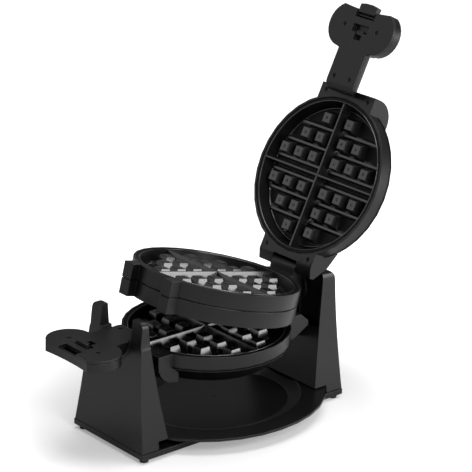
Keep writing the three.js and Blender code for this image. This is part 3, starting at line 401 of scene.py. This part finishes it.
def rim_frames(frame):
    """The rim frames of the four plates at rest: +Z out of the cavity, origin on the rim plane."""
    joints = {joint["name"]: joint for joint in frame["joints"]}
    lower_pin = Vector(joints["centre_hinge"]["pos_m"])
    upper_pin = Vector(joints["upper_hinge"]["pos_m"])
    tilt = math.radians(-joints["centre_hinge"]["range_deg"][0])
    opening = math.radians(-joints["upper_hinge"]["range_deg"][0])
    centre_open = turn_about(lower_pin, tilt)
    upper_open = turn_about(upper_pin, opening) @ centre_open
    low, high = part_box("lower_waffle_plate")
    middle_y = (low.y + high.y) / 2
    lower_face = high.z - DIVIDER_TOP
    upper_face = lower_face + CENTRE_THICKNESS
    over = Matrix.Rotation(math.pi, MATRIX_SIZE, "Y")
    return {
        "lower": Matrix.Translation((0, middle_y, lower_face)),
        "centre_lower": centre_open @ Matrix.Translation((0, middle_y, lower_face + RIM_GAP)) @ over,
        "centre_upper": centre_open @ Matrix.Translation((0, middle_y, upper_face - RIM_GAP)),
        "upper": upper_open @ Matrix.Translation((0, middle_y, upper_face)) @ over,
    }


# Mesh building


def linked(name, data):
    piece = bpy.data.objects.new(name, data)
    bpy.context.scene.collection.objects.link(piece)
    return piece


def piece_from(name, shape, matrix, material, body, smooth=True):
    """Makes a piece of the finished shape, in the finish and on the body it belongs to."""
    bmesh.ops.recalc_face_normals(shape, faces=shape.faces)
    data = bpy.data.meshes.new(name)
    shape.to_mesh(data)
    shape.free()
    data.transform(matrix)
    piece = linked(name, data)
    data.materials.append(material)
    if smooth:
        data.polygons.foreach_set("use_smooth", [True] * len(data.polygons))
        data.set_sharp_from_angle(angle=SMOOTH_ANGLE)
    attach(piece, body)


def turns(count):
    return [math.tau * i / count for i in range(count)]


def box_section(left, right, low, high):
    return [(left, low), (right, low), (right, high), (left, high)]


def add_block(shape, rows):
    """A solid whose outline goes through the given rows of points, closed at both ends."""
    rows = [[shape.verts.new(point) for point in row] for row in rows]
    for lower, upper in zip(rows, rows[1:]):
        for i in range(len(lower)):
            j = (i + 1) % len(lower)
            shape.faces.new((lower[i], lower[j], upper[j], upper[i]))
    shape.faces.new(rows[0])
    shape.faces.new(rows[-1])


def add_band(shape, rows):
    """A ring whose outline goes through the given rows of points and back to the first."""
    rows = [[shape.verts.new(point) for point in row] for row in rows]
    for row, following in zip(rows, rows[1:] + rows[:1]):
        for k in range(len(row)):
            m = (k + 1) % len(row)
            shape.faces.new((row[k], following[k], following[m], row[m]))


def add_prism(shape, section, start, end, along):
    """A bar of the given [across, height] section between two places along X or Y."""
    if along == "x":
        rows = [[(reach, across, height) for across, height in section] for reach in (start, end)]
    else:
        rows = [[(across, reach, height) for across, height in section] for reach in (start, end)]
    add_block(shape, rows)


def add_frustum(shape, place, levels):
    """A closed square block that takes the given [half side, height] at each level."""
    rows = []
    for half, height in levels:
        corners = ((-half, -half), (half, -half), (half, half), (-half, half))
        rows.append([(place[0] + x, place[1] + y, height) for x, y in corners])
    add_block(shape, rows)


def add_lathe(shape, section):
    """A closed ring that turns the given [radius, height] section about the Z axis."""
    add_band(shape, [
        [(radius * math.cos(turn), radius * math.sin(turn), height) for radius, height in section]
        for turn in turns(RING_SEGMENTS)
    ])


def add_oval(shape, middle, halves, section, segments):
    """A closed oval ring of the given [inset, height] section inside an ellipse."""
    rows = []
    for turn in turns(segments):
        rows.append([
            (
                middle[0] + (halves[0] - inset) * math.cos(turn),
                middle[1] + (halves[1] - inset) * math.sin(turn),
                height,
            )
            for inset, height in section
        ])
    add_band(shape, rows)


def add_ring(shape, radius, height, tube, centre=(0.0, 0.0), segments=SMALL_SEGMENTS):
    """A ring of round tube that lies flat round the given centre."""
    rows = []
    for turn in turns(segments):
        row = []
        for around in turns(TUBE_SEGMENTS):
            reach = radius + tube * math.cos(around)
            x = centre[0] + reach * math.cos(turn)
            y = centre[1] + reach * math.sin(turn)
            row.append((x, y, height + tube * math.sin(around)))
        rows.append(row)
    add_band(shape, rows)


# Waffle plates


def rib_offsets():
    """Ribs run midway between the rows of pegs, and the first ones clear the dividers' feet."""
    between = [PEG_FIRST + PEG_PITCH * (i + MIDWAY) for i in range(PEGS_PER_SIDE - 1)]
    return [side * offset for offset in [RIB_FIRST, *between] for side in (-1, 1)]


def rib_section(middle, base, top, height, crown):
    """A low rib's section: straight sides, and shoulders that fall off to a narrower crest."""
    crest = PLATE_FLOOR + height
    foot = PLATE_FLOOR - RIB_FOOT_SINK
    half_base, half_top = base / 2, top / 2
    half_flat = half_top * RIB_FLAT_SHARE
    return [
        (middle - half_base, foot),
        (middle + half_base, foot),
        (middle + half_top, crest - crown),
        (middle + half_flat, crest),
        (middle - half_flat, crest),
        (middle - half_top, crest - crown),
    ]


def rib_grid():
    """The low ribs between the rows of pegs, the dividers' rubbed skin and the floor's raised edge."""
    shape = bmesh.new()
    for offset in rib_offsets():
        reach = math.sqrt(RIB_RING_RADIUS**2 - offset**2)
        add_prism(shape, rib_section(offset, **LONG_RIB), -reach, reach, "x")
    foot, crest = DIVIDER_HALF_BASE + SKIN, DIVIDER_HALF_TOP + SKIN
    top = DIVIDER_TOP + SKIN
    divider = [(-foot, PLATE_FLOOR), (foot, PLATE_FLOOR), (crest, top), (-crest, top)]
    for along in ("x", "y"):
        add_prism(shape, divider, -DIVIDER_REACH, DIVIDER_REACH, along)
    add_lathe(shape, rib_section(RIB_RING_RADIUS, **RING_RIB))
    return shape


def plate_bead():
    """The rounded bead round the mouth of the cavity."""
    shape = bmesh.new()
    add_ring(shape, CAVITY_RADIUS + BEAD_INSET, PLATE_FACE, BEAD_RADIUS, segments=RING_SEGMENTS)
    return shape


def peg_places():
    """The pegs of all four quarters, in rows that get shorter towards the rim."""
    steps = [PEG_FIRST + PEG_PITCH * i for i in range(PEGS_PER_SIDE)]
    places = []
    for i, across in enumerate(steps):
        for along in steps[: PEGS_PER_SIDE - i]:
            places += [(side * across, end * along) for side in (-1, 1) for end in (-1, 1)]
    return places


def peg_coats():
    """Each peg's rubbed skin, with its edges broken and a small dome in the middle of its top."""
    shape = bmesh.new()
    top = PEG_TOP + SKIN
    for place in peg_places():
        add_frustum(shape, place, [
            (PEG_FOOT_HALF + SKIN, PLATE_FLOOR),
            (PEG_TOP_HALF + SKIN, top - PEG_CHAMFER),
            (PEG_TOP_HALF + SKIN - PEG_CHAMFER, top),
        ])
        add_ring(shape, DOT_RADIUS, top, DOT_RADIUS - DOT_CORE, place)
    return shape


def painted_peg_dimple_shades():
    """Painted shade for the dimple in the middle of each peg's top, as a near-black ring."""
    shape = bmesh.new()
    for place in peg_places():
        add_ring(shape, DIMPLE_RADIUS, PEG_TOP + SKIN - DIMPLE_DROP, DIMPLE_LIP, place)
    return shape


def rim_groove():
    """The dark joint between the plate's flange and the lid's rim."""
    shape = bmesh.new()
    inner, outer = FLANGE_RADIUS - GROOVE_HALF_WIDTH, FLANGE_RADIUS + GROOVE_HALF_WIDTH
    low, high = PLATE_FACE - GROOVE_SINK, PLATE_FACE + GROOVE_LIFT
    add_lathe(shape, box_section(inner, outer, low, high))
    return shape


def wall_seam():
    """The dark line round a lid's side wall, where its back is joined on."""
    shape = bmesh.new()
    inner, outer = LID_RADIUS - SEAM_SINK, LID_RADIUS + SEAM_LIFT
    low, high = SEAM_HEIGHT - SEAM_HALF_WIDTH, SEAM_HEIGHT + SEAM_HALF_WIDTH
    add_lathe(shape, box_section(inner, outer, low, high))
    return shape


def dress_plates(rims, materials):
    rubbed, recess = materials["rubbed"], materials["recess"]
    for plate, rim in rims.items():
        body = PLATE_BODIES[plate]
        piece_from(f"{plate}_plate_ribs", rib_grid(), rim, rubbed, body)
        piece_from(f"{plate}_plate_bead", plate_bead(), rim, rubbed, body)
        piece_from(f"{plate}_peg_coats", peg_coats(), rim, rubbed, body)
        # painted shade: near-black rings where the pegs' dimples are
        piece_from(f"{plate}_painted_peg_dimple_shades", painted_peg_dimple_shades(), rim, recess, body)
        piece_from(f"{plate}_rim_groove", rim_groove(), rim, recess, body, smooth=False)
    for plate in LID_PLATES:
        rim, body = rims[plate], PLATE_BODIES[plate]
        piece_from(f"{plate}_wall_seam", wall_seam(), rim, recess, body, smooth=False)


# Screws and tray


def add_screw_marks(shape, points):
    """Painted shade for the cross recess in a screw's head and for the gap round it, as near-black bars and a
    ring.
    """
    top = max(point.z for point in points)
    right = max(point.x for point in points)
    x = (min(point.x for point in points) + right) / 2
    y = (min(point.y for point in points) + max(point.y for point in points)) / 2
    for along, middle, place in (("x", x, y), ("y", y, x)):
        left_side, right_side = place - CROSS_HALF_WIDTH, place + CROSS_HALF_WIDTH
        section = box_section(left_side, right_side, top - CROSS_SINK, top + CROSS_LIFT)
        add_prism(shape, section, middle - CROSS_REACH, middle + CROSS_REACH, along)
    add_ring(shape, right - x + HEAD_GAP, top, HEAD_GAP, (x, y))


def mark_screws(frame, rims, materials):
    """Paints shade on the head of each screw that shows on the lids and handles, for its cross recess and the gap
    round it.
    """
    recess = materials["recess"]
    for side in LID_PLATES:
        rim, body = rims[side], PLATE_BODIES[side]
        back = rim.inverted()
        shape = bmesh.new()
        for name, node in frame["nodes"].items():
            if name.startswith(side) and "screw" in name:
                add_screw_marks(shape, [back @ vertex.co for vertex in node.data.vertices])
        piece_from(f"{side}_screw_recess_shades", shape, rim, recess, body, smooth=False)


def tray_slope():
    """The wide soft slope round the drip tray's well."""
    shape = bmesh.new()
    section = [
        (WELL_RIM_DROP, WELL_RIM - WELL_RIM_DROP),
        (WELL_SLOPE, WELL_FLOOR + WELL_LIFT),
        (WELL_SLOPE, WELL_FLOOR - WELL_BED),
        (WELL_CAD_SLOPE, WELL_FLOOR - WELL_BED),
        (0.0, WELL_RIM - WELL_BED - WELL_RIM_DROP),
    ]
    add_oval(shape, WELL_MIDDLE, WELL_HALVES, section, WELL_SEGMENTS)
    return shape


def tray_mark():
    """The small oval mark in the middle of the drip tray."""
    shape = bmesh.new()
    section = box_section(0.0, MARK_WIDTH, WELL_FLOOR - WELL_BED, WELL_FLOOR + WELL_LIFT)
    add_oval(shape, MARK_PLACE, MARK_RADII, section, SMALL_SEGMENTS)
    return shape


def dress_tray(materials):
    plastic, recess = materials["shell_plastic"], materials["recess"]
    here = Matrix()
    piece_from("tray_well_slope", tray_slope(), here, plastic, "drip_tray")
    piece_from("tray_mark", tray_mark(), here, recess, "drip_tray", smooth=False)


# Studio


def area_light(name, place, size, power):
    data = bpy.data.lights.new(name, "AREA")
    data.shape = "DISK"
    data.size = size
    data.energy = power
    lamp = linked(name, data)
    direction = (LIGHT_TARGET - Vector(place)).normalized()
    lamp.rotation_euler = direction.to_track_quat("-Z", "Y").to_euler()
    lamp.location = place


def seen_directly(graph, gloss_share):
    """1 for rays that show the background by eye or through glass, and a share of it in reflections."""
    path = graph.add("ShaderNodeLightPath").outputs
    gloss = graph.combined("MULTIPLY", path["Is Glossy Ray"], gloss_share)
    by_eye = graph.combined("MAXIMUM", path["Is Camera Ray"], gloss)
    return graph.combined("MAXIMUM", by_eye, path["Is Transmission Ray"])


def studio_glow(graph):
    """The studio as gloss shows it: a white wall in front, a darker one behind and a dark ceiling."""
    direction = graph.split(graph.place("Generated"))
    level = graph.faded(direction["Z"], WALL_HEIGHTS, WALL_GLOSSES)
    depth = graph.faded(direction["Y"], WALL_DEPTHS, DEPTH_GLOSSES)
    return graph.combined("MAXIMUM", graph.combined("MULTIPLY", level, depth), CEILING_GLOSS)


def light_world():
    world = bpy.data.worlds.new("studio")
    bpy.context.scene.world = world
    world.use_nodes = True
    graph = Graph(world.node_tree)
    back = graph.tree.nodes["Background"]
    back.inputs["Color"].default_value = WHITE
    strength = graph.ranged(seen_directly(graph, studio_glow(graph)), WORLD_LIGHT, 1.0)
    graph.link(strength, back.inputs["Strength"])


def floor_material():
    """A floor with its own white for the eye, dimmed close to the object as painted shade, seen in reflections
    more to the right as a painted pool of light, and a matte part that takes the shadow.
    """
    material = bpy.data.materials.new("white floor")
    material.use_nodes = True
    graph = Graph(material.node_tree)
    graph.tree.nodes.remove(graph.tree.nodes["Principled BSDF"])
    place = graph.place("Object")
    distance = graph.add("ShaderNodeVectorMath")
    distance.operation = "LENGTH"
    graph.link(place, distance.inputs[0])
    # painted shade: the floor's own white is dimmer close to the object
    white_with_painted_shade = graph.faded(distance.outputs["Value"], FLOOR_DISTANCES, FLOOR_WHITES_WITH_PAINTED_SHADE)
    # painted reflection: reflections show more of the floor's white to the right, a painted pool of light, and
    # less to the left
    gloss_share = graph.faded(graph.split(place)["X"], FLOOR_PAINTED_REFLECTION_SIDES, FLOOR_PAINTED_REFLECTION_LEVELS)
    strength = graph.combined("MULTIPLY", seen_directly(graph, gloss_share), white_with_painted_shade)
    matte = graph.add("ShaderNodeBsdfDiffuse", Color=FLOOR_COLOR)
    white = graph.add("ShaderNodeEmission")
    graph.link(strength, white.inputs["Strength"])
    both = graph.add("ShaderNodeAddShader")
    graph.link(matte.outputs["BSDF"], both.inputs[0])
    graph.link(white.outputs["Emission"], both.inputs[1])
    graph.link(both.outputs["Shader"], graph.tree.nodes["Material Output"].inputs["Surface"])
    return material


def floor():
    shape = bmesh.new()
    bmesh.ops.create_grid(shape, x_segments=1, y_segments=1, size=FLOOR_SIZE / 2)
    data = bpy.data.meshes.new("studio_floor")
    shape.to_mesh(data)
    shape.free()
    data.materials.append(floor_material())
    piece = linked("studio_floor", data)


def camera():
    data = bpy.data.cameras.new("camera")
    data.lens = CAMERA_LENS
    data.sensor_width = CAMERA_SENSOR
    data.shift_x = CAMERA_SHIFT_X
    data.shift_y = CAMERA_SHIFT_Y
    data.clip_end = CAMERA_REACH
    piece = linked("camera", data)
    azimuth = math.radians(CAMERA_AZIMUTH)
    elevation = math.radians(CAMERA_ELEVATION)
    level = math.cos(elevation)
    back = Vector((math.sin(azimuth) * level, -math.cos(azimuth) * level, math.sin(elevation)))
    turn = back.to_track_quat("Z", "Y").to_matrix().to_4x4()
    roll = Matrix.Rotation(math.radians(CAMERA_ROLL), MATRIX_SIZE, "Z")
    piece.matrix_world = Matrix.Translation(CAMERA_TARGET + back * CAMERA_DISTANCE) @ turn @ roll
    bpy.context.scene.camera = piece


def build(frame):
    materials = make_materials()
    camera()
    paint_nodes(frame, materials)
    rims = rim_frames(frame)
    dress_plates(rims, materials)
    mark_screws(frame, rims, materials)
    dress_tray(materials)
    floor()
    light_world()
    for name, lamp in LAMPS.items():
        area_light(name, **lamp)
    bpy.context.scene.view_settings.view_transform = "Standard"


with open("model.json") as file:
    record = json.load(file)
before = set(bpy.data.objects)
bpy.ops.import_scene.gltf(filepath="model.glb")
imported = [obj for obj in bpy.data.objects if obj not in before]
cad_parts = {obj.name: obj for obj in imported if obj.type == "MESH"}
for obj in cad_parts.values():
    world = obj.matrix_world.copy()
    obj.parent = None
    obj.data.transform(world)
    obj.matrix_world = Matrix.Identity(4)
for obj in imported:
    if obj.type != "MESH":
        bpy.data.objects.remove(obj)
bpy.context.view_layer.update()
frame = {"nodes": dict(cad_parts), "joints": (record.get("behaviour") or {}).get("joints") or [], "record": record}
build(frame)
